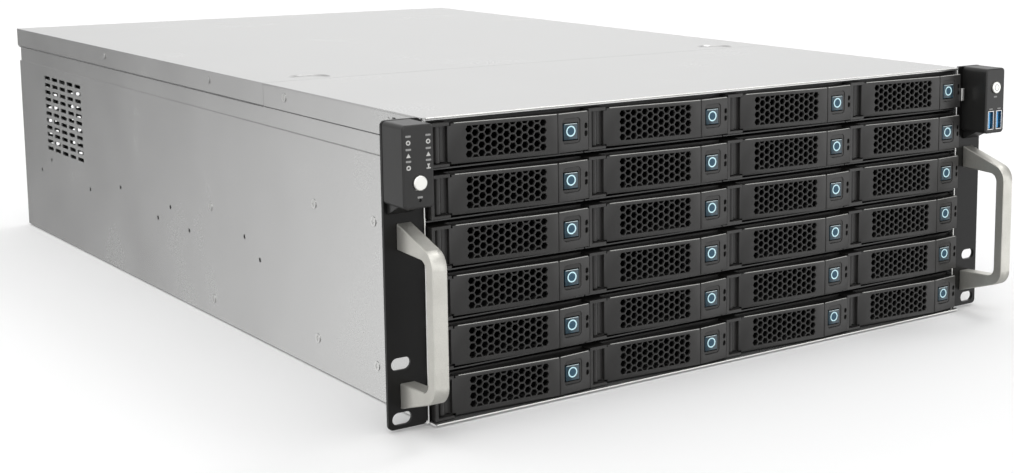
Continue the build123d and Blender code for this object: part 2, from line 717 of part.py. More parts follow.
def psu_rocker():
    """The rocker: a shallow V-shaped key that turns about a cross axis."""
    x0, x1, z0, z1, y0, y1 = psu_layout()
    x, z = x0 + 62, z0 + 24
    outline = make_face(Polyline(
        (y1 - 5, z - 6.5), (y1 + 2.2, z - 7.6), (y1 + 0.6, z), (y1 + 2.2, z + 7.6), (y1 - 5, z + 6.5),
        close=True,
    ))
    pivot_y = y1 - ROCKER_PIVOT_DEPTH
    rocker = along_x(outline, x - 5.2, x + 5.2) + rod_x(pivot_y, z, 1.2, x - 5.5, x + 5.5)
    return rocker.rotate(Axis((x, pivot_y, z), (1, 0, 0)), ROCKER_TILT)


# --- fasteners and board supports ----------------------------------------------------------
CROSS_REACH = 0.62
CROSS_WIDTH = 0.26
CROSS_DEPTH = 0.8
HEAD_PROUD = 0.45
PAN_HEIGHT = 2.0
FAN_SCREW_R = 3.4
PSU_SCREW_R = 3.2


def cross_x(y, z, radius, x0, x1):
    """The cross-shaped driver recess of a screw along x."""
    reach = radius * CROSS_REACH
    half = radius * CROSS_WIDTH / 2
    upright = block(x0, x1, y - half, y + half, z - reach, z + reach)
    return upright + block(x0, x1, y - reach, y + reach, z - half, z + half)


def cross_y(x, z, radius, y0, y1):
    """The cross-shaped driver recess of a screw along y."""
    reach = radius * CROSS_REACH
    half = radius * CROSS_WIDTH / 2
    upright = block(x - half, x + half, y0, y1, z - reach, z + reach)
    return upright + block(x - reach, x + reach, y0, y1, z - half, z + half)


def screw_head(y, z, radius, depth):
    """A low head in the left wall, with a cross recess."""
    outer = -HALF - HEAD_PROUD
    head = rod_x(y, z, radius - 0.05, outer, -HALF + depth)
    return head - cross_x(y, z, radius, outer - 1, outer + depth / 2)


def pan_screw(x, z, radius, rear):
    """A pan-head screw on the rear, with a cross recess."""
    outer = rear + PAN_HEIGHT
    return rod_y(x, z, radius, rear, outer) - cross_y(x, z, radius, outer - CROSS_DEPTH, outer + 1)


def casing_screws():
    """All the fixed screws of the casing: side walls, front cover, fans and power supply."""
    screws = []
    for y, z in WALL_SCREWS:
        head = screw_head(y, z, WALL_SCREW_R, SHEET / 2)
        screws += [head, mirrored(head)]
    for y, z in BAND_SCREWS:
        head = screw_head(y, z, BAND_SCREW_R, 0.4)
        screws += [head, mirrored(head)]
    offset = REAR_FAN_SIZE * 0.4465
    for x in REAR_FAN_X:
        for dx in (-1, 1):
            for dz in (-1, 1):
                place = (x + dx * offset, REAR_FAN_Z + dz * offset)
                screws.append(pan_screw(*place, FAN_SCREW_R, BODY_DEPTH + GUARD_THICK))
    for x, z in ((PSU_X[0] + 7, 151), (PSU_X[1] - 7, 151), (PSU_X[0] + 2, 60), (PSU_X[1] - 7, 16)):
        screws.append(pan_screw(x, z, PSU_SCREW_R, BODY_DEPTH))
    for i in range(SLOT_COUNT):
        x = SLOT_FIRST_X - i * SLOT_PITCH - 6
        z0 = SLOT_BOTTOM + SLOT_HEIGHT + 2
        screws.append(Pos(x, BODY_DEPTH - SHEET - 6, z0 + 1.0) * Cylinder(3.0, 2.0))
    return screws + handle_feet_screws()


def board_standoffs():
    """Nine threaded standoffs on the floor for a full-size board."""
    standoffs = []
    for dx in BOARD_HOLE_X:
        for dy in BOARD_HOLE_Y:
            place = Pos(BOARD_ORIGIN_X + dx, BOARD_ORIGIN_Y + dy, SHEET)
            body = extrude(RegularPolygon(3.0, 6), amount=STANDOFF_HEIGHT)
            bore = Pos(0, 0, STANDOFF_HEIGHT) * Cylinder(
                1.5, 5, align=(Align.CENTER, Align.CENTER, Align.MAX)
            )
            standoffs.append(place * (body - bore))
    return standoffs


def main():
    os.makedirs("parts", exist_ok=True)
    save("base_pan", base_pan())
    save("front_cover", front_cover())
    save("rear_lid", [rear_lid()] + lid_screws())
    save("rear_panel", rear_panel())
    save("slot_covers", slot_covers())
    save("bay_dividers", bay_dividers() + [bay_top_bar()])
    save("bay_shelves", bay_shelves())
    save("circuit_boards", backplane_boards() + pod_boards())
    save("backplane_connectors", backplane_connectors() + backplane_sockets())
    build_trays()
    ear = rack_ear()
    save("rack_ear_left", ear)
    save("rack_ear_right", mirrored(ear))
    handle = pull_handle()
    save("handle_left", handle)
    save("handle_right", mirrored(handle))
    save("control_pod_left", control_pod())
    save("usb_pod_right", usb_pod())
    save("power_button", round_button(-POD_X + 0.5, POWER_Z))
    save("ident_button", round_button(POD_X, IDENT_Z))
    save("reset_button", reset_pin())
    save("usb_sockets", usb_shells() + usb_tongues())
    save("fan_wall", fan_wall())
    fan_y = FAN_WALL_Y + SHEET
    rear_y = BODY_DEPTH - SHEET - FAN_DEPTH
    frames = [fan_frame(WALL_FAN_SIZE, x, WALL_FAN_Z, fan_y) for x in WALL_FAN_X]
    frames += [fan_frame(REAR_FAN_SIZE, x, REAR_FAN_Z, rear_y) for x in REAR_FAN_X]
    save("fan_frames", frames)
    for i, x in enumerate(WALL_FAN_X):
        save(f"wall_fan_rotor_{i + 1}", fan_rotor(WALL_FAN_SIZE, x, WALL_FAN_Z, fan_y))
    for i, x in enumerate(REAR_FAN_X):
        save(f"rear_fan_rotor_{i + 1}", fan_rotor(REAR_FAN_SIZE, x, REAR_FAN_Z, rear_y))
    save("fan_guards", fan_guards())
    save("psu_case", psu_case())
    save("psu_fittings", [power_inlet(), psu_switch_frame()])
    save("psu_rocker", psu_rocker())
    save("casing_screws", casing_screws())
    save("board_standoffs", board_standoffs())


main()
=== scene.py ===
import json
import math

import bmesh
import bpy
from mathutils import Matrix, Vector
from mathutils.geometry import tessellate_polygon


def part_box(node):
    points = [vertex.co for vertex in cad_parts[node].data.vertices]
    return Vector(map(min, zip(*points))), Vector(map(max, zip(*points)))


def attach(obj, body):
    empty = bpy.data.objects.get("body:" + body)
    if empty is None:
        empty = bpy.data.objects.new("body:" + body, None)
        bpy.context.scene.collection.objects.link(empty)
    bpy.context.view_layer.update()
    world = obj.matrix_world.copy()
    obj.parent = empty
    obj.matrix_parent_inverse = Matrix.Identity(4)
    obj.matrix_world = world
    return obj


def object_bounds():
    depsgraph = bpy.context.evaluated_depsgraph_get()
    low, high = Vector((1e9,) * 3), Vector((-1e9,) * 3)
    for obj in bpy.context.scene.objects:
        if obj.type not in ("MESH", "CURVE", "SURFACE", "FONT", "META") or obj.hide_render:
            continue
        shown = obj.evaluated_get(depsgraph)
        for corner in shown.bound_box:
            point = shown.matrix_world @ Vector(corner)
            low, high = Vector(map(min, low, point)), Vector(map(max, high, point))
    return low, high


# Looks of a four-unit rack storage enclosure with 24 drive trays.
# Lengths below are in millimetres and are turned into metres by MM.

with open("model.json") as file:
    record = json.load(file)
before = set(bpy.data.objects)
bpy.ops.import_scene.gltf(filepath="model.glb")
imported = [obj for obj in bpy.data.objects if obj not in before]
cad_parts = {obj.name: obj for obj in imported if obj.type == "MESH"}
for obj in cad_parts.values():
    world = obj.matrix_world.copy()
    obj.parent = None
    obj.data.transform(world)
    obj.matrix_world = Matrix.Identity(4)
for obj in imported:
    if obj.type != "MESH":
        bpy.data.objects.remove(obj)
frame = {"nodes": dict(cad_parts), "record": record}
cad_box = [list(corner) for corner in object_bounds()]
nodes = frame["nodes"]
MM = 0.001

# --- the camera, measured from the middle of the footprint ---------------------------------
CAMERA_PLACE = (-669.6, -1155.9, 303.9)
CAMERA_AZIMUTH = -38.21
CAMERA_ELEVATION = 8.64
CAMERA_ROLL = 0.14
FOCAL_IN_WIDTHS = 1.6497
CAMERA_SHIFT = (-0.1754, -0.0959)
SENSOR_WIDTH = 36.0

# --- the tray's front, in millimetres from the tray's own middle ---------------------------
ROWS = 6
COLUMNS = 4
SPLIT_TRAYS = ("r1c1", "r1c2")
TRAY_CREST = 7.0
TRAY_TOP = 12.0
FACE_LEFT = -40.4
FACE_RIGHT = 30.0
FACE_TOP = 10.8
FACE_BOTTOM = -12.3
FACE_Y_LEFT = -1.2
FACE_Y_RIGHT = -7.0
FACE_NOTCH = (2.2, 1.3)
FACE_PROUD = 0.15
FACE_THICKNESS = 1.6
FACE_EDGE = 0.55
FACE_OVERLAP = 0.1
SIDE_OVERLAP = 0.05

HOLE_FIRST_X = -26.9
HOLE_COLUMNS = 13
HOLE_ROWS = 4
HOLE_STEP_X = 3.95
HOLE_STEP_Z = 4.79
HOLE_TOP_Z = 6.8
HOLE_ACROSS = 3.8
HOLE_RIM = 0.16
HOLE_CLIP = (-9.6, 8.7)

BUTTON_X = 39.8
RING_Z = 0.1
BUTTON_Z = -0.3
BUTTON_SIZE = (9.9, 9.4)
BUTTON_FRONT_Y = -6.25
BUTTON_DEPTH = 1.6
CAP_CORNER = 0.5
CAP_EDGE = 0.35
ROUND_SIDES = 40
RING_OUTER = 3.25
RING_INNER = 2.45
RING_PROUD = 0.08
RING_THICKNESS = 0.3
RING_RIM = 0.05
LENS_GAP = 0.05
LENS_PROUD = 0.04
BRACKET_LEFT = 30.4
BRACKET_RIGHT = 53.1
BRACKET_Y_RIGHT = -5.2
BRACKET_THICKNESS = 0.9
BRACKET_EDGE = 0.45
BRACKET_RIM = 0.22
THUMB_CENTRE = (40.2, 0.2)
THUMB_SIZE = (13.2, 15.0)
THUMB_CORNER = 2.2
LAMP_HOLE = (2.1, 3.3)
LAMP_HOLE_CORNER = 1.04
LAMP_X = 51.2
LAMP_Z = (2.4, -2.2)
LAMP_SIZE = (2.0, 3.2)
LAMP_CORNER = 0.98
LAMP_FRONT_Y = -3.9
LAMP_DEPTH = 0.8
LAMP_DOME = 0.3
# Light bars along the top edges of the mouldings and of the button caps: painted highlights.
SHEEN_R = 0.3
LEVER_SHEEN_END = 0.5
BRACKET_SHEEN_END = 1.0
CAP_SHEEN_R = 0.22
CAP_SHEEN_INSET = 0.6
CAP_SHEEN_SUNK = 0.1

# --- the pods' print, in millimetres; heights are the object's own -------------------------
INK = 0.12
INK_LIFT = 0.1
ICON_R = 1.35
ICON_SIDES = 24
ICON_HOLE = 0.5
TRIANGLE_R = 1.15
TRIANGLE_DROP = -0.1
BRANCH_OUTLINE = (
    (-1.3, -1.3), (1.3, -1.3), (1.3, -0.7), (0.35, -0.7), (0.35, 0.2),
    (0.9, 1.4), (-0.9, 1.4), (-0.35, 0.2), (-0.35, -0.7), (-1.3, -0.7),
)
ICON_ROWS = (166.6, 159.4, 152.9)
ICON_COLUMNS = ((-6.1, ("ring", "triangle", "ring")), (6.1, ("ring", "triangle", "branch")))
CAPTION_SIZE = (3.2, 1.1)
CAPTION_RISE = 3.5
CAPTION_CORNER = 0.3
LABEL_UNDER_POWER = -2.9
LABEL_UNDER_IDENT = -6.6
IDENT_RING = (2.3, 1.9)
IDENT_SIDES = 32

# --- the two upright sockets on the right pod, in millimetres -------------------------------
SOCKET_WIDTH = 5.8
TONGUE_SIZE = (2.0, 11.6)
TONGUE_CORNER = 0.3
TONGUE_DEPTH = 12.0
TONGUE_EDGE = 0.2
TONGUE_SIDE = 1.0
TONGUE_SUNK = 0.55
SOCKET_CAPTION = (3.4, 0.8)
SOCKET_CAPTION_RISE = 1.5

# --- rolled edges and the latch tab, whose lighter zinc paints their highlights, and painted shadow lines under the flange seams, in millimetres ---
BAR_SIDES = 12
BAR_SHARP_OVER = 40
HEM_R = 0.5
HEM_END = 2.0
WALL_HEM_BACK = 0.8
BAND_Z = 161.0
SEAM_R = 0.45
SEAM_INSET = 0.75
SEAM_FRONT = 9.0
SEAM_END = 0.2
TAB_SIZE = (2.6, 9.0)
TAB_CORNER = 0.4
TAB_FRONT_Y = -6.4
TAB_THICKNESS = 1.2
TAB_EDGE = 0.3
TAB_BESIDE = 1.7
TAB_DROP = 15.6

# --- radius of the fine rounded edges on CAD nodes whose names start so -------------------
EDGE_RADII = {
    "front_cover": 0.5,
    "rear_lid": 0.5,
    "rack_ear": 0.25,
    "handle_": 0.5,
}
WELD_WITHIN = 0.001
FLAT_WITHIN = 0.5
BEVEL_OVER = 50
BEVEL_SEGMENTS = 2

# --- the studio: a patch of light has its azimuth from +Y towards +X, its elevation, its inner
# --- and outer angle and its strength, which is below zero where it takes light away ----------
FLOOR_GAP = 1.2
FLOOR_HALF = 12.0
BACKDROP = 1.0
STUDIO_BASE = 0.46
GLOWS = (
    (0.0, 90.0, 5.0, 42.0, 1.14),
    (35.0, 14.0, 15.0, 40.0, 0.42),
    (35.0, 35.0, 15.0, 40.0, 0.26),
    (-35.0, 30.0, 15.0, 40.0, 0.25),
    (-21.0, -8.0, 3.0, 14.0, -0.40),
    (-31.0, -10.0, 4.0, 13.0, 0.90),
    (-36.0, -22.0, 4.0, 18.0, 0.42),
    (154.0, -13.0, 4.0, 15.0, -0.40),
    (133.0, -6.0, 6.0, 24.0, 1.30),
    (140.0, 15.0, 6.0, 25.0, 0.70),
    (-120.0, 20.0, 20.0, 50.0, 0.80),
    (180.0, 10.0, 10.0, 30.0, 1.20),
    (-140.0, 55.0, 4.0, 20.0, 1.60),
    (85.0, 57.0, 3.0, 12.0, 5.0),
)


# --- small mesh helpers --------------------------------------------------------------------
def rounded_rectangle(width, height, radius, centre=(0.0, 0.0), steps=5):
    """Points of a rectangle with round corners, anticlockwise."""
    points = []
    for corner in range(4):
        sign_x = 1 if corner in (0, 3) else -1
        sign_z = 1 if corner in (0, 1) else -1
        middle_x = centre[0] + sign_x * (width / 2 - radius)
        middle_z = centre[1] + sign_z * (height / 2 - radius)
        for step in range(steps + 1):
            angle = math.radians(90 * corner + 90 * step / steps)
            points.append((middle_x + radius * math.cos(angle), middle_z + radius * math.sin(angle)))
    return points


def regular_polygon(centre, radius, corners, turn=0.0):
    """Points of a regular polygon, anticlockwise, its first corner at the angle turn."""
    angles = [math.radians(turn + 360 * i / corners) for i in range(corners)]
    return [(centre[0] + radius * math.cos(a), centre[1] + radius * math.sin(a)) for a in angles]


def inset(points, distance):
    """The same anticlockwise outline, moved inwards by a distance; a negative one widens it."""
    moved = []
    count = len(points)
    for i, point in enumerate(points):
        here = Vector(point)
        before = (here - Vector(points[i - 1])).normalized()
        after = (Vector(points[(i + 1) % count]) - here).normalized()
        normal_a = Vector((-before.y, before.x))
        normal_b = Vector((-after.y, after.x))
        mitre = (normal_a + normal_b) / (1 + normal_a.dot(normal_b))
        moved.append(tuple(here + mitre * distance))
    return moved


def clip(points, low, high):
    """The part of a convex outline between two heights."""
    for limit, sign in ((low, 1), (high, -1)):
        kept = []
        for i, (x1, z1) in enumerate(points):
            x0, z0 = points[i - 1]
            inside_before = sign * (z0 - limit) >= 0
            inside = sign * (z1 - limit) >= 0
            if inside != inside_before:
                share = (limit - z0) / (z1 - z0)
                kept.append((x0 + share * (x1 - x0), limit))
            if inside:
                kept.append((x1, z1))
        points = kept
    return points


class Plate:
    """A closed plate facing -Y, built from an outline with a rounded edge and holes with a fine rim."""

    def __init__(self, surface=lambda x, z: 0.0):
        self.surface = surface
        self.points = []
        self.faces = []

    def ring(self, outline, depth):
        first = len(self.points)
        self.points += [(x, self.surface(x, z) + depth, z) for x, z in outline]
        return list(range(first, len(self.points)))

    def band(self, one, other):
        count = len(one)
        for i in range(count):
            j = (i + 1) % count
            self.faces.append((one[i], one[j], other[j], other[i]))

    def cap(self, loops):
        flat = [[Vector((self.points[i][0], self.points[i][2], 0)) for i in loop] for loop in loops]
        index = [i for loop in loops for i in loop]
        self.faces += [tuple(index[k] for k in triangle) for triangle in tessellate_polygon(flat)]

    def add(self, outline, holes, front, thickness, edge, rim=0.0):
        """One closed plate: front is its depth along +Y, and edge the radius of its rounded rim."""
        steps = 3 if edge > 0 else 0
        outer = []
        for step in range(steps + 1):
            angle = math.radians(90 * step / steps) if steps else 0.0
            outline_here = inset(outline, edge * (1 - math.cos(angle))) if step else outline
            outer.append(self.ring(outline_here, front + edge * (1 - math.sin(angle))))
        for one, other in zip(outer, outer[1:]):
            self.band(one, other)
        rear = self.ring(outline, front + thickness)
        self.band(rear, outer[0])
        front_loops = [outer[-1]]
        rear_loops = [rear]
        for hole in holes:
            lip = self.ring(inset(hole, -rim), front) if rim else None
            mouth = self.ring(hole, front + rim)
            floor = self.ring(hole, front + thickness)
            if lip:
                self.band(mouth, lip)
            self.band(floor, mouth)
            front_loops.append(lip or mouth)
            rear_loops.append(floor)
        self.cap(front_loops)
        self.cap(rear_loops)

    def mesh(self, name, smooth_angle=35.0):
        made = bpy.data.meshes.new(name)
        made.from_pydata([Vector(p) * MM for p in self.points], [], self.faces)
        cleaner = bmesh.new()
        cleaner.from_mesh(made)
        bmesh.ops.recalc_face_normals(cleaner, faces=cleaner.faces)
        cleaner.to_mesh(made)
        cleaner.free()
        made.shade_smooth()
        made.set_sharp_from_angle(angle=math.radians(smooth_angle))
        return made


def place(name, mesh, where, body, material):
    """A new piece at a point in metres, riding on a body."""
    piece = bpy.data.objects.new(name, mesh)
    bpy.context.scene.collection.objects.link(piece)
    piece.location = where
    if not mesh.materials:
        mesh.materials.append(material)
    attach(piece, body)
    return piece


def bar_mesh(name, start, end, radius):
    """A thin round bar between two points in millimetres."""
    along = Vector(end) - Vector(start)
    turn = along.to_track_quat("Z", "Y").to_matrix()
    points = []
    for centre in (Vector(start), Vector(end)):
        for x, y in regular_polygon((0, 0), radius, BAR_SIDES):
            points.append((centre + turn @ Vector((x, y, 0))) * MM)
    first = list(range(BAR_SIDES))
    second = [i + BAR_SIDES for i in first]
    faces = [tuple(reversed(first)), tuple(second)]
    for i in first:
        j = (i + 1) % BAR_SIDES
        faces.append((first[i], first[j], second[j], second[i]))
    mesh = bpy.data.meshes.new(name)
    mesh.from_pydata(points, [], faces)
    mesh.shade_smooth()
    mesh.set_sharp_from_angle(angle=math.radians(BAR_SHARP_OVER))
    return mesh


def hem(name, start, end, radius, body, material):
    """A bar along a sheet edge between two points in millimetres: a rolled edge whose lighter zinc paints
    its highlight, or a painted shadow line under a flange.
    """
    place(name, bar_mesh(name, start, end, radius), (0, 0, 0), body, material)


# --- materials -----------------------------------------------------------------------------
NOISE_LOW = 0.3
NOISE_HIGH = 0.7


def new_material(name, colour, roughness, metallic=0.0, **extra):
    """A plain material; extra holds other shader sockets, with _ for a space."""
    made = bpy.data.materials.new(name)
    made.use_nodes = True
    shader = made.node_tree.nodes["Principled BSDF"]
    shader.inputs["Base Color"].default_value = (*colour, 1.0)
    shader.inputs["Roughness"].default_value = roughness
    shader.inputs["Metallic"].default_value = metallic
    for socket, value in extra.items():
        shader.inputs[socket.replace("_", " ")].default_value = value
    made.diffuse_color = (*colour, 1.0)
    return made


def add_node(made, kind, **values):
    """A new shader node with these sockets or settings."""
    new = made.node_tree.nodes.new(kind)
    for name, value in values.items():
        if name in new.inputs:
            new.inputs[name].default_value = value
        else:
            setattr(new, name, value)
    return new


def connect(made, source, target):
    made.node_tree.links.new(source, target)


def noise(made, grain_mm, detail=2.0, stretch=(1.0, 1.0, 1.0)):
    """Noise with features of about that size, stretched along the axes where stretch is small."""
    place_node = add_node(made, "ShaderNodeTexCoord")
    mapping = add_node(made, "ShaderNodeMapping")
    mapping.inputs["Scale"].default_value = stretch
    connect(made, place_node.outputs["Object"], mapping.inputs["Vector"])
    texture = add_node(made, "ShaderNodeTexNoise", Scale=1 / (grain_mm * MM), Detail=detail)
    connect(made, mapping.outputs["Vector"], texture.inputs["Vector"])
    return texture.outputs[0]


def tint(made, factor, dark, light, low=0.35, high=0.65):
    """The base colour runs from dark to light with the factor."""
    ramp = add_node(made, "ShaderNodeValToRGB")
    ramp.color_ramp.elements[0].position = low
    ramp.color_ramp.elements[0].color = (*dark, 1.0)
    ramp.color_ramp.elements[1].position = high
    ramp.color_ramp.elements[1].color = (*light, 1.0)
    connect(made, factor, ramp.inputs["Fac"])
    shader = made.node_tree.nodes["Principled BSDF"]
    connect(made, ramp.outputs["Color"], shader.inputs["Base Color"])


def polish(made, factor, low, high):
    """The roughness runs from low to high with the factor."""
    spread = add_node(made, "ShaderNodeMapRange")
    spread.inputs["From Min"].default_value = NOISE_LOW
    spread.inputs["From Max"].default_value = NOISE_HIGH
    spread.inputs["To Min"].default_value = low
    spread.inputs["To Max"].default_value = high
    connect(made, factor, spread.inputs["Value"])
    shader = made.node_tree.nodes["Principled BSDF"]
    connect(made, spread.outputs["Result"], shader.inputs["Roughness"])


def relief(made, factor, depth_mm, strength=1.0):
    """Bumps of that depth, added to any that the material already has."""
    shader = made.node_tree.nodes["Principled BSDF"]
    bump = add_node(made, "ShaderNodeBump", Strength=strength, Distance=depth_mm * MM)
    connect(made, factor, bump.inputs["Height"])
    for link in shader.inputs["Normal"].links:
        connect(made, link.from_socket, bump.inputs["Normal"])
    connect(made, bump.outputs["Normal"], shader.inputs["Normal"])


def sum_of(made, first, second, share):
    """Two factors mixed: share of the second."""
    mix = add_node(made, "ShaderNodeMix", data_type="FLOAT")
    mix.inputs[0].default_value = share
    connect(made, first, mix.inputs[2])
    connect(made, second, mix.inputs[3])
    return mix.outputs[0]


def galvanised_steel():
    """Smooth zinc-coated sheet with a cloudy sheen and a fine speckle."""
    made = new_material("galvanised_steel", (0.54, 0.54, 0.535), 0.28, metallic=0.85)
    clouds = noise(made, 90, detail=3)
    speckle = noise(made, 0.9, detail=2)
    tint(made, sum_of(made, clouds, speckle, 0.45), (0.495, 0.495, 0.49), (0.55, 0.55, 0.545))
    polish(made, sum_of(made, clouds, speckle, 0.3), 0.24, 0.28)
    return made


def black_powder_coat():
    """Black powder coat with a fine orange-peel texture."""
    made = new_material("black_powder_coat", (0.004, 0.004, 0.004), 0.34, Specular_IOR_Level=0.28)
    peel = noise(made, 0.7, detail=2)
    tint(made, noise(made, 30, detail=2), (0.002, 0.002, 0.002), (0.004, 0.0038, 0.0035))
    polish(made, peel, 0.30, 0.40)
    relief(made, peel, 0.02, 0.4)
    return made


def satin_aluminium():
    """Bead-blasted anodised aluminium, a little warm, with a soft sparkle."""
    made = new_material("satin_aluminium", (0.70, 0.69, 0.645), 0.5, metallic=0.9)
    blasted = noise(made, 0.45, detail=3)
    clouds = noise(made, 14, detail=2)
    tint(made, sum_of(made, clouds, blasted, 0.6), (0.62, 0.61, 0.565), (0.76, 0.75, 0.70))
    polish(made, blasted, 0.44, 0.56)
    relief(made, blasted, 0.015, 0.4)
    return made


def moulded_plastic(name, dark, light, roughness):
    """Matte moulded plastic with a fine spark-eroded grain."""
    made = new_material(name, light, roughness)
    grain = noise(made, 0.28, detail=3)
    patches = noise(made, 18, detail=3)
    tint(made, sum_of(made, patches, grain, 0.4), dark, light)
    polish(made, grain, roughness - 0.06, roughness + 0.08)
    relief(made, grain, 0.025, 0.5)
    return made


def button_teal():
    """Translucent dark teal plastic, a little cloudy."""
    made = new_material("button_teal", (0.010, 0.034, 0.050), 0.28, Coat_Weight=0.25, Coat_Roughness=0.15)
    depth = noise(made, 3.5, detail=2)
    tint(made, depth, (0.007, 0.024, 0.037), (0.016, 0.050, 0.072))
    polish(made, noise(made, 0.4), 0.24, 0.34)
    return made


def print_ink(name, dark, light):
    """Screen-printed ink with slightly uneven cover."""
    made = new_material(name, light, 0.55)
    cover = noise(made, 0.5, detail=3)
    tint(made, cover, dark, light)
    polish(made, cover, 0.5, 0.62)
    return made


def pale_metal(name, dark, light, roughness):
    """Plated or satin metal with a fine even grain."""
    made = new_material(name, light, roughness, metallic=1.0)
    grain = noise(made, 0.4, detail=3)
    tint(made, grain, dark, light)
    polish(made, grain, roughness - 0.06, roughness + 0.06)
    relief(made, grain, 0.006, 0.3)
    return made


def circuit_board():
    """Green solder mask over faint straight copper traces."""
    made = new_material("circuit_board", (0.012, 0.07, 0.03), 0.35, Coat_Weight=0.4, Coat_Roughness=0.2)
    traces = noise(made, 2.2, detail=1, stretch=(1.0, 1.0, 0.08))
    tint(made, traces, (0.008, 0.05, 0.022), (0.02, 0.11, 0.045), 0.46, 0.54)
    relief(made, traces, 0.03, 0.5)
    return made


def build_materials():
    """One material for every slot that the CAD nodes name."""
    return {
        "galvanised_steel": galvanised_steel(),
        "black_steel": black_powder_coat(),
        "satin_aluminium": satin_aluminium(),
        "tray_plastic": moulded_plastic(
            "tray_plastic", (0.019, 0.0186, 0.018), (0.028, 0.027, 0.026), 0.36
        ),
        "button_teal": button_teal(),
        "pod_plastic": moulded_plastic(
            "pod_plastic", (0.012, 0.012, 0.0115), (0.018, 0.0175, 0.017), 0.38
        ),
        "button_silver": pale_metal("button_silver", (0.94, 0.94, 0.90), (0.99, 0.99, 0.95), 0.45),
        "socket_metal": pale_metal("socket_metal", (0.60, 0.60, 0.60), (0.74, 0.74, 0.75), 0.25),
        "board_green": circuit_board(),
        "connector_black": moulded_plastic(
            "connector_black", (0.012, 0.012, 0.012), (0.02, 0.02, 0.02), 0.5
        ),
        "fan_black": moulded_plastic(
            "fan_black", (0.014, 0.014, 0.014), (0.024, 0.024, 0.024), 0.42
        ),
        "nickel_steel": pale_metal("nickel_steel", (0.56, 0.56, 0.55), (0.70, 0.70, 0.69), 0.28),
        "brass": pale_metal("brass", (0.70, 0.52, 0.20), (0.82, 0.63, 0.28), 0.3),
    }


materials = build_materials()
# Nearly black zinc on the galvanised shelves: painted shade in the gaps between the trays.
shelf_painted_shade = pale_metal("shelf_painted_shade", (0.07, 0.07, 0.07), (0.10, 0.10, 0.10), 0.45)
# Lighter than the zinc sheet: painted highlight on the rolled edges and the latch tab.
zinc_painted_highlight = pale_metal("zinc_painted_highlight", (0.86, 0.86, 0.84), (0.94, 0.94, 0.92), 0.4)
# Light grey bars: painted highlight along the top edges of the tray mouldings.
painted_edge_highlight = moulded_plastic("painted_edge_highlight", (0.36, 0.36, 0.345), (0.48, 0.48, 0.46), 0.4)
# Pale teal bars: painted highlight along the top edge of each button cap.
painted_cap_highlight = print_ink("painted_cap_highlight", (0.42, 0.50, 0.52), (0.56, 0.64, 0.66))
# Dark bars: painted shadow under the side flanges.
flange_painted_shadow = moulded_plastic("flange_painted_shadow", (0.10, 0.10, 0.10), (0.14, 0.14, 0.14), 0.6)
ring_glow = print_ink("ring_cyan", (0.50, 0.78, 0.86), (0.66, 0.90, 0.96))
lens_teal = print_ink("lens_teal", (0.010, 0.052, 0.090), (0.022, 0.085, 0.135))
lamp_dark = moulded_plastic("lamp_dark", (0.004, 0.004, 0.004), (0.009, 0.008, 0.008), 0.5)
ink_white = print_ink("ink_white", (0.42, 0.42, 0.41), (0.55, 0.55, 0.53))
ink_dim = print_ink("ink_dim", (0.20, 0.20, 0.20), (0.30, 0.30, 0.29))
ink_grey = print_ink("ink_grey", (0.30, 0.30, 0.30), (0.36, 0.36, 0.36))
usb_blue = moulded_plastic("usb_blue", (0.03, 0.20, 0.45), (0.06, 0.32, 0.62), 0.38)


def paint_frame():
    """Each CAD node takes the material of its slot, except the bay's shelves, which take a nearly black
    zinc that paints the shade in the gaps between the trays.
    """
    slots = {part["node"]: part["material_slot"] for part in frame["record"]["subparts"]}
    for name, node in nodes.items():
        node.data.materials.clear()
        node.data.materials.append(shelf_painted_shade if name == "bay_shelves" else materials[slots[name]])


def soften_edges():
    """Fine rounded edges on the sheet metal and mouldings, which catch the light as the real ones do."""
    for name, width in EDGE_RADII.items():
        for node_name in [n for n in nodes if n.startswith(name)]:
            node = nodes[node_name]
            weld = node.modifiers.new("weld", "WELD")
            weld.merge_threshold = WELD_WITHIN * MM
            planes = node.modifiers.new("planes", "DECIMATE")
            planes.decimate_type = "DISSOLVE"
            planes.angle_limit = math.radians(FLAT_WITHIN)
            bevel = node.modifiers.new("edges", "BEVEL")
            bevel.limit_method = "ANGLE"
            bevel.angle_limit = math.radians(BEVEL_OVER)
            bevel.width = width * MM
            bevel.segments = BEVEL_SEGMENTS
            bevel.use_clamp_overlap = True


# --- trays ---------------------------------------------------------------------------------
def tray_middle(name):
    """The point that a tray's own measures are taken from, in metres."""
    low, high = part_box(f"drive_tray_{name}")
    return Vector(((low.x + high.x) / 2, low.y + TRAY_CREST * MM, high.z - TRAY_TOP * MM))


def lever_surface(x, z):
    """The sloping front of the lever."""
    share = (x - FACE_LEFT) / (FACE_RIGHT - FACE_LEFT)
    return FACE_Y_LEFT + share * (FACE_Y_RIGHT - FACE_Y_LEFT)


def mesh_holes():
    """Hexagonal holes in columns; every second column is half a step off and is cut at its ends."""
    radius = HOLE_ACROSS / 2 / math.cos(math.radians(30))
    holes = []
    for column in range(HOLE_COLUMNS):
        x = HOLE_FIRST_X + column * HOLE_STEP_X
        shifted = column % 2 == 1
        first_z = HOLE_TOP_Z + HOLE_STEP_Z / 2 if shifted else HOLE_TOP_Z
        for row in range(HOLE_ROWS + 1 if shifted else HOLE_ROWS):
            whole = regular_polygon((x, first_z - row * HOLE_STEP_Z), radius, 6)
            holes.append(clip(whole, *HOLE_CLIP))
    return holes


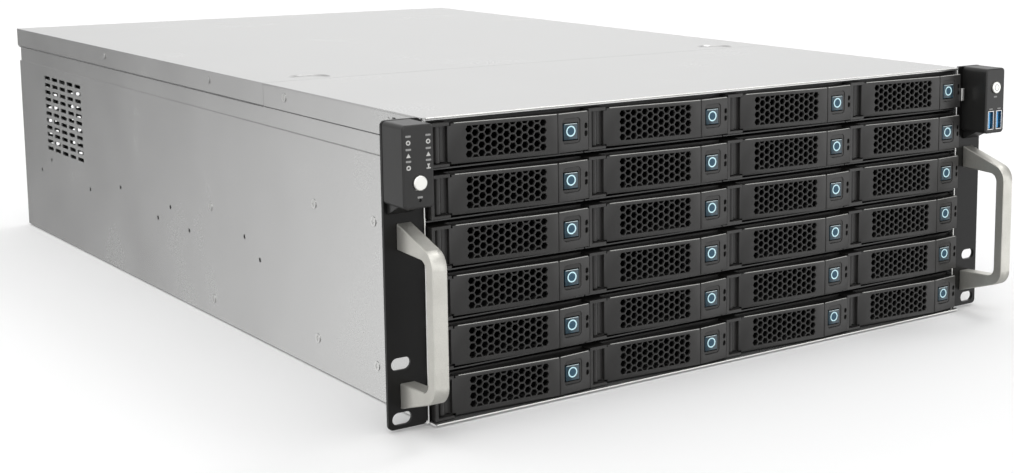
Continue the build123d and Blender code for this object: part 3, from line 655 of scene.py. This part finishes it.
def lever_face_mesh():
    """The lever's sloping front, notched at its hinge, with the hexagonal mesh."""
    notch_x, notch_z = FACE_NOTCH
    inner_left = FACE_LEFT + notch_x
    outer_left = FACE_LEFT - SIDE_OVERLAP
    right = FACE_RIGHT + FACE_OVERLAP
    top = FACE_TOP + FACE_OVERLAP
    bottom = FACE_BOTTOM - FACE_OVERLAP
    outline = [
        (inner_left, bottom), (right, bottom), (right, top), (inner_left, top),
        (inner_left, top - notch_z), (outer_left, top - notch_z),
        (outer_left, bottom + notch_z), (inner_left, bottom + notch_z),
    ]
    plate = Plate(lever_surface)
    plate.add(outline, mesh_holes(), -FACE_PROUD, FACE_THICKNESS, FACE_EDGE, HOLE_RIM)
    return plate.mesh("lever_face")


def bracket_surface(x, z):
    """The front of the button's housing, which falls back from the crest."""
    share = (x - BRACKET_LEFT) / (BRACKET_RIGHT - BRACKET_LEFT)
    return FACE_Y_RIGHT + share * (BRACKET_Y_RIGHT - FACE_Y_RIGHT)


def bracket_mesh():
    """The housing's front, with the thumb recess and two lamp holes."""
    left = BRACKET_LEFT - SIDE_OVERLAP
    right = BRACKET_RIGHT + SIDE_OVERLAP
    top = FACE_TOP + FACE_OVERLAP
    bottom = FACE_BOTTOM - FACE_OVERLAP
    outline = [(left, bottom), (right, bottom), (right, top), (left, top)]
    holes = [rounded_rectangle(*THUMB_SIZE, THUMB_CORNER, THUMB_CENTRE)]
    for z in LAMP_Z:
        holes.append(rounded_rectangle(*LAMP_HOLE, LAMP_HOLE_CORNER, (LAMP_X, z)))
    plate = Plate(bracket_surface)
    plate.add(outline, holes, -FACE_PROUD, BRACKET_THICKNESS, BRACKET_EDGE, BRACKET_RIM)
    return plate.mesh("bracket_face")


def button_cap_mesh():
    """The square release button's cap."""
    plate = Plate()
    plate.add(rounded_rectangle(*BUTTON_SIZE, CAP_CORNER), [], BUTTON_FRONT_Y, BUTTON_DEPTH, CAP_EDGE)
    return plate.mesh("button_cap")


def ring_mesh():
    """The bright ring on the cap."""
    plate = Plate()
    outer = regular_polygon((0, 0), RING_OUTER, ROUND_SIDES)
    inner = regular_polygon((0, 0), RING_INNER, ROUND_SIDES)
    plate.add(outer, [inner], BUTTON_FRONT_Y - RING_PROUD, RING_THICKNESS, 0.0, RING_RIM)
    return plate.mesh("button_ring")


def lens_mesh():
    """The dark lens inside the ring."""
    plate = Plate()
    outline = regular_polygon((0, 0), RING_INNER - LENS_GAP, ROUND_SIDES)
    plate.add(outline, [], BUTTON_FRONT_Y - LENS_PROUD, RING_THICKNESS, LENS_PROUD)
    return plate.mesh("button_lens")


def lamp_mesh():
    """One of the two small dark lamps beside the button."""
    plate = Plate()
    plate.add(rounded_rectangle(*LAMP_SIZE, LAMP_CORNER), [], LAMP_FRONT_Y, LAMP_DEPTH, LAMP_DOME)
    return plate.mesh("tray_lamp")


def sheen_mesh(name, left, right, surface):
    """A light bar along the top edge of a moulding, which follows its sloping front and paints the
    highlight that the edge catches.
    """
    z = FACE_TOP + SIDE_OVERLAP
    start = (left, surface(left, z) + FACE_EDGE / 2, z)
    end = (right, surface(right, z) + FACE_EDGE / 2, z)
    return bar_mesh(name, start, end, SHEEN_R)


def cap_sheen_mesh():
    """A light bar along the top edge of a button cap, which paints its highlight."""
    half = BUTTON_SIZE[0] / 2 - CAP_SHEEN_INSET
    edge = (BUTTON_FRONT_Y + CAP_SHEEN_SUNK, BUTTON_SIZE[1] / 2 - CAP_SHEEN_SUNK)
    return bar_mesh("painted_cap_highlight", (-half, *edge), (half, *edge), CAP_SHEEN_R)


def dress_trays():
    """Each tray gets its moulded fronts with painted highlight bars along their top edges, its button's
    pieces with a painted highlight along the cap, and two lamps.
    """
    lever_left = FACE_LEFT + 2 * FACE_NOTCH[0]
    lever_right = FACE_RIGHT - LEVER_SHEEN_END
    bracket_left = BRACKET_LEFT + LEVER_SHEEN_END
    bracket_right = BRACKET_RIGHT - BRACKET_SHEEN_END
    lever_painted_highlight = sheen_mesh("lever_painted_highlight", lever_left, lever_right, lever_surface)
    bracket_painted_highlight = sheen_mesh("bracket_painted_highlight", bracket_left, bracket_right, bracket_surface)
    top_sheen = cap_sheen_mesh()
    face = lever_face_mesh()
    cap = button_cap_mesh()
    ring = ring_mesh()
    lens = lens_mesh()
    lamp = lamp_mesh()
    bracket = bracket_mesh()
    plastic = materials["tray_plastic"]
    names = [f"r{row + 1}c{column + 1}" for row in range(ROWS) for column in range(COLUMNS)]
    for name in names:
        middle = tray_middle(name)
        split = name in SPLIT_TRAYS
        tray_body = f"tray_{name}"
        lever_body = f"lever_{name}" if split else tray_body
        button_body = f"button_{name}" if split else tray_body
        button = middle + Vector((BUTTON_X, 0, BUTTON_Z)) * MM
        ring_place = middle + Vector((BUTTON_X, 0, RING_Z)) * MM
        place(f"lever_face_{name}", face, middle, lever_body, plastic)
        place(f"bracket_face_{name}", bracket, middle, tray_body, plastic)
        place(f"lever_painted_highlight_{name}", lever_painted_highlight, middle, lever_body, painted_edge_highlight)
        place(f"bracket_painted_highlight_{name}", bracket_painted_highlight, middle, tray_body, painted_edge_highlight)
        place(f"painted_cap_highlight_{name}", top_sheen, button, button_body, painted_cap_highlight)
        place(f"button_cap_{name}", cap, button, button_body, materials["button_teal"])
        place(f"button_ring_{name}", ring, ring_place, button_body, ring_glow)
        place(f"button_lens_{name}", lens, ring_place, button_body, lens_teal)
        for i, z in enumerate(LAMP_Z):
            where = middle + Vector((LAMP_X, 0, z)) * MM
            place(f"tray_lamp_{name}_{i + 1}", lamp, where, tray_body, lamp_dark)


# --- pods, sockets and the casing's edges --------------------------------------------------
def flat_shape(name, outline, holes, thickness):
    """A thin printed or applied shape, drawn round its own middle, that lies on y = 0 and faces -Y."""
    plate = Plate()
    plate.add(outline, holes, -thickness, thickness, 0.0)
    return plate.mesh(name)


def bar_outline(width, height):
    """A short bar with round ends, which stands for a caption."""
    return rounded_rectangle(width, height, min(width, height) * CAPTION_CORNER)


def icon_meshes():
    """Generic status symbols: a ring, a triangle and a branch."""
    outer = regular_polygon((0, 0), ICON_R, ICON_SIDES)
    inner = regular_polygon((0, 0), ICON_R * ICON_HOLE, ICON_SIDES)
    corners = regular_polygon((0, TRIANGLE_DROP), ICON_R * TRIANGLE_R, 3, 90)
    return {
        "ring": flat_shape("icon_ring", outer, [inner], INK),
        "triangle": flat_shape("icon_triangle", corners, [], INK),
        "branch": flat_shape("icon_branch", BRANCH_OUTLINE, [], INK),
    }


def print_status_signs(middle_x, front, caption):
    """Two columns of symbols on the left pod, each with its caption bar."""
    icons = icon_meshes()
    for column, (dx, symbols) in enumerate(ICON_COLUMNS):
        for row, symbol in enumerate(symbols):
            where = Vector((middle_x + dx * MM, front, ICON_ROWS[row] * MM))
            above = where + Vector((0, 0, CAPTION_RISE * MM))
            word = f"{column + 1}_{row + 1}"
            place(f"pod_icon_{word}", icons[symbol], where, "chassis", ink_white)
            place(f"pod_caption_{word}", caption, above, "chassis", ink_dim)


def print_ident(front, caption):
    """The ring printed on the ident button, and the caption bar under it."""
    low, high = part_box("ident_button")
    middle = Vector(((low.x + high.x) / 2, front, (low.z + high.z) / 2))
    below = middle + Vector((0, 0, LABEL_UNDER_IDENT * MM))
    place("ident_caption", caption, below, "chassis", ink_dim)
    outer, inner = [regular_polygon((0, 0), radius, IDENT_SIDES) for radius in IDENT_RING]
    ring = flat_shape("ident_ring", outer, [inner], INK)
    face = Vector((middle.x, low.y - INK * MM * INK_LIFT, middle.z))
    place("ident_ring", ring, face, "ident_button", ink_grey)


def print_pods():
    """Symbols and caption bars on the two pods."""
    low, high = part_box("control_pod_left")
    front = low.y - INK * MM * INK_LIFT
    caption = flat_shape("caption", bar_outline(*CAPTION_SIZE), [], INK)
    print_status_signs((low.x + high.x) / 2, front, caption)
    power_low, power_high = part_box("power_button")
    power_middle = (power_low.x + power_high.x) / 2
    under = Vector((power_middle, front, power_low.z + LABEL_UNDER_POWER * MM))
    place("power_caption", caption, under, "chassis", ink_white)
    print_ident(front, caption)


def usb_details():
    """Blue tongues in the two upright sockets, and a caption bar above each."""
    low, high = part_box("usb_sockets")
    tongue = Plate()
    tongue.add(rounded_rectangle(*TONGUE_SIZE, TONGUE_CORNER), [], 0.0, TONGUE_DEPTH, TONGUE_EDGE)
    mesh = tongue.mesh("usb_tongue")
    caption = flat_shape("usb_caption", bar_outline(*SOCKET_CAPTION), [], INK)
    middle_z = (low.z + high.z) / 2
    half = (high.x - low.x) / 2 - SOCKET_WIDTH * MM / 2
    middle_x = (low.x + high.x) / 2
    pod_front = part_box("usb_pod_right")[0].y - INK * MM * INK_LIFT
    for i, side in enumerate((-1, 1)):
        x = middle_x + side * half
        where = Vector((x - TONGUE_SIDE * MM, low.y + TONGUE_SUNK * MM, middle_z))
        place(f"usb_tongue_{i + 1}", mesh, where, "chassis", usb_blue)
        above = Vector((x, pod_front, high.z + SOCKET_CAPTION_RISE * MM))
        place(f"usb_caption_{i + 1}", caption, above, "chassis", ink_dim)


def front_hems():
    """The rolled edges round the drive bay, in the lighter zinc that paints the highlight they catch."""
    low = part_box("base_pan")[0] / MM
    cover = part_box("front_cover")
    lip_y = cover[0].y / MM
    top = cover[1].z / MM - HEM_R
    half = -low.x
    end = half - HEM_END
    hem("cover_hem", (-end, lip_y, top), (end, lip_y, top), HEM_R, "chassis", zinc_painted_highlight)
    hem("floor_hem", (-end, low.y, HEM_R), (end, low.y, HEM_R), HEM_R, "chassis", zinc_painted_highlight)
    for side, name in ((-1, "wall_hem_left"), (1, "wall_hem_right")):
        x = side * (half - HEM_R)
        y = lip_y + WALL_HEM_BACK
        hem(name, (x, y, HEM_R), (x, y, top - 2 * HEM_R), HEM_R, "chassis", zinc_painted_highlight)


def flange_shadow_lines():
    """A painted shadow line under the side flanges of the front cover and of the rear lid: a dark bar
    where the flange's edge casts its shade.
    """
    wall_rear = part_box("base_pan")[1].y / MM
    flanges = (("front_cover", "chassis", SEAM_FRONT), ("rear_lid", "rear_lid", SEAM_END))
    for node_name, body, front in flanges:
        low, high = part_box(node_name)
        for side, word in ((-1, "left"), (1, "right")):
            x = side * (high.x / MM - SEAM_INSET)
            start = (x, low.y / MM + front, BAND_Z - SEAM_R)
            end = (x, min(high.y / MM, wall_rear) - SEAM_END, BAND_Z - SEAM_R)
            # Each bar is a painted shadow under the flange's edge.
            hem(f"seam_{node_name}_{word}", start, end, SEAM_R, body, flange_painted_shadow)


def latch_tab():
    """The small zinc-coated tab beside the top right tray, in the lighter zinc that paints its highlight.
    """
    plate = Plate()
    plate.add(rounded_rectangle(*TAB_SIZE, TAB_CORNER), [], TAB_FRONT_Y, TAB_THICKNESS, TAB_EDGE)
    low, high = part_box("drive_tray_r1c4")
    where = Vector((high.x + TAB_BESIDE * MM, low.y + TRAY_CREST * MM, high.z - TAB_DROP * MM))
    place("latch_tab", plate.mesh("latch_tab"), where, "chassis", zinc_painted_highlight)


# --- stage ---------------------------------------------------------------------------------
def build_floor():
    """A large white floor, which reflections don't show."""
    mesh = bpy.data.meshes.new("floor")
    corners = [(x * FLOOR_HALF, y * FLOOR_HALF, 0) for x, y in ((-1, -1), (1, -1), (1, 1), (-1, 1))]
    mesh.from_pydata(corners, [], [(0, 1, 2, 3)])
    floor = bpy.data.objects.new("floor", mesh)
    floor.location = (0, 0, cad_box[0][2] - FLOOR_GAP * MM)
    bpy.context.scene.collection.objects.link(floor)
    mesh.materials.append(new_material("floor_white", (0.93, 0.93, 0.93), 0.9, Specular_IOR_Level=0.1))
    floor.visible_glossy = False


def direction(azimuth, elevation):
    """A unit vector; azimuth 0 points along +Y and grows towards +X, in degrees."""
    a, e = math.radians(azimuth), math.radians(elevation)
    return math.sin(a) * math.cos(e), math.cos(a) * math.cos(e), math.sin(e)


def glow(world, azimuth, elevation, inner, outer, strength):
    """A soft round patch of studio light on the world, full inside one angle and gone at another."""
    where = add_node(world, "ShaderNodeTexCoord")
    closeness = add_node(world, "ShaderNodeVectorMath", operation="DOT_PRODUCT")
    closeness.inputs[1].default_value = direction(azimuth, elevation)
    connect(world, where.outputs["Generated"], closeness.inputs[0])
    fade = add_node(world, "ShaderNodeMapRange", interpolation_type="SMOOTHSTEP")
    fade.inputs["From Min"].default_value = math.cos(math.radians(outer))
    fade.inputs["From Max"].default_value = math.cos(math.radians(inner))
    fade.inputs["To Min"].default_value = 0.0
    fade.inputs["To Max"].default_value = strength
    connect(world, closeness.outputs["Value"], fade.inputs["Value"])
    return fade.outputs["Result"]


def build_world():
    """An evenly lit studio with soft patches of light round the object, plain white to the camera."""
    world = bpy.data.worlds.new("studio")
    world.use_nodes = True
    bpy.context.scene.world = world
    background = world.node_tree.nodes["Background"]
    background.inputs["Color"].default_value = (1.0, 1.0, 1.0, 1.0)
    total = None
    for patch in GLOWS:
        light = glow(world, *patch)
        if total is None:
            total = light
            continue
        add = add_node(world, "ShaderNodeMath", operation="ADD")
        connect(world, total, add.inputs[0])
        connect(world, light, add.inputs[1])
        total = add.outputs[0]
    base = add_node(world, "ShaderNodeMath", operation="ADD")
    base.inputs[1].default_value = STUDIO_BASE
    connect(world, total, base.inputs[0])
    seen = add_node(world, "ShaderNodeLightPath")
    choice = add_node(world, "ShaderNodeMix", data_type="FLOAT")
    choice.inputs[3].default_value = BACKDROP
    connect(world, seen.outputs["Is Camera Ray"], choice.inputs[0])
    connect(world, base.outputs[0], choice.inputs[2])
    connect(world, choice.outputs[0], background.inputs["Strength"])


def build_camera():
    """The camera from its fitted place, direction, roll, focal length and shift."""
    azimuth = math.radians(CAMERA_AZIMUTH)
    elevation = math.radians(CAMERA_ELEVATION)
    roll = math.radians(CAMERA_ROLL)
    back = Vector((
        math.sin(azimuth) * math.cos(elevation),
        -math.cos(azimuth) * math.cos(elevation),
        math.sin(elevation),
    ))
    level = (-back).cross(Vector((0, 0, 1))).normalized()
    upright = level.cross(-back)
    right = level * math.cos(roll) + upright * math.sin(roll)
    up = upright * math.cos(roll) - level * math.sin(roll)
    data = bpy.data.cameras.new("camera")
    data.sensor_width = SENSOR_WIDTH
    data.lens = FOCAL_IN_WIDTHS * SENSOR_WIDTH
    data.shift_x, data.shift_y = CAMERA_SHIFT
    camera = bpy.data.objects.new("camera", data)
    turn = Matrix((right, up, back)).transposed().to_4x4()
    camera.matrix_world = Matrix.Translation(Vector(CAMERA_PLACE) * MM) @ turn
    bpy.context.scene.collection.objects.link(camera)
    bpy.context.scene.camera = camera


paint_frame()
soften_edges()
dress_trays()
print_pods()
usb_details()
front_hems()
flange_shadow_lines()
latch_tab()
build_floor()
build_world()
build_camera()
bpy.context.scene.view_settings.view_transform = "Standard"
